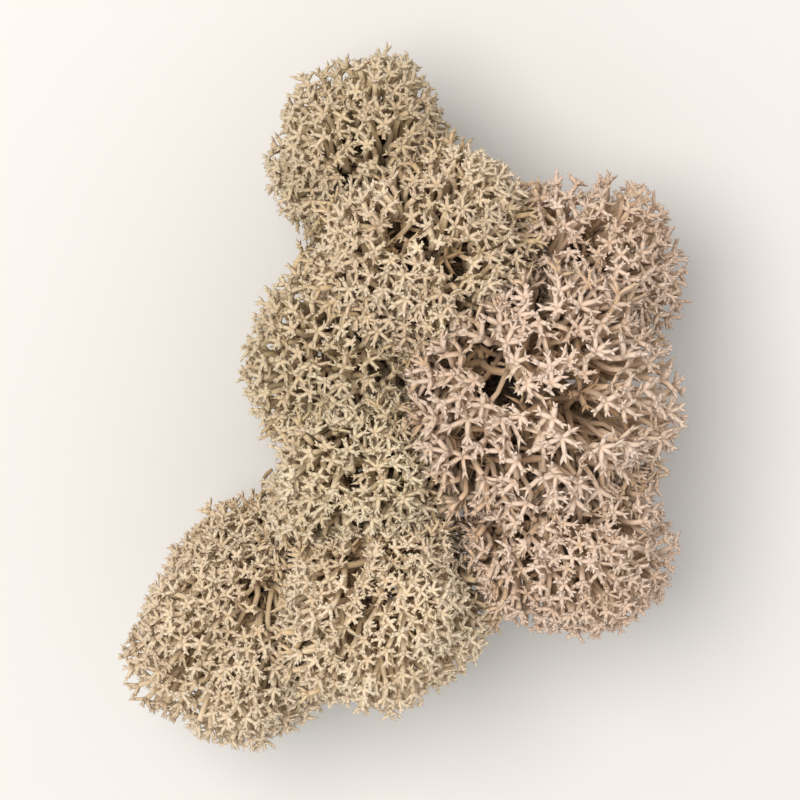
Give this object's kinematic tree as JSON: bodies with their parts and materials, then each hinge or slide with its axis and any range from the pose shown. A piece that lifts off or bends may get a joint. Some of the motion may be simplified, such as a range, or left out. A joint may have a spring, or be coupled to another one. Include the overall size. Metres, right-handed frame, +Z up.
{
  "type": "preserved reindeer moss clump",
  "caption": "Loose clump of dried, preserved reindeer moss: rounded heads of finely forked cream branchlets on greyish stalk sheaves that end in small flat feet.",
  "frame": {"origin": "middle of the clump's bounding box in plan, on the surface that its feet rest on", "axes": "+Z up, from the feet to the heads; +Y along the clump's long side, up in the picture; +X to the right in the picture"},
  "size_m": [0.0651, 0.0811, 0.0413],
  "materials": {
    "moss_pinkish": "matte",
    "moss_cream": "matte",
    "moss_greenish": "matte"
  },
  "bodies": {
    "root": {"head_front": "moss_pinkish", "head_right": "moss_pinkish", "head_edge": "moss_pinkish", "head_low": "moss_cream", "head_corner": "moss_cream", "head_upper": "moss_cream", "head_middle": "moss_greenish", "head_top": "moss_greenish", "head_back": "moss_greenish"}
  },
  "joints": []
}
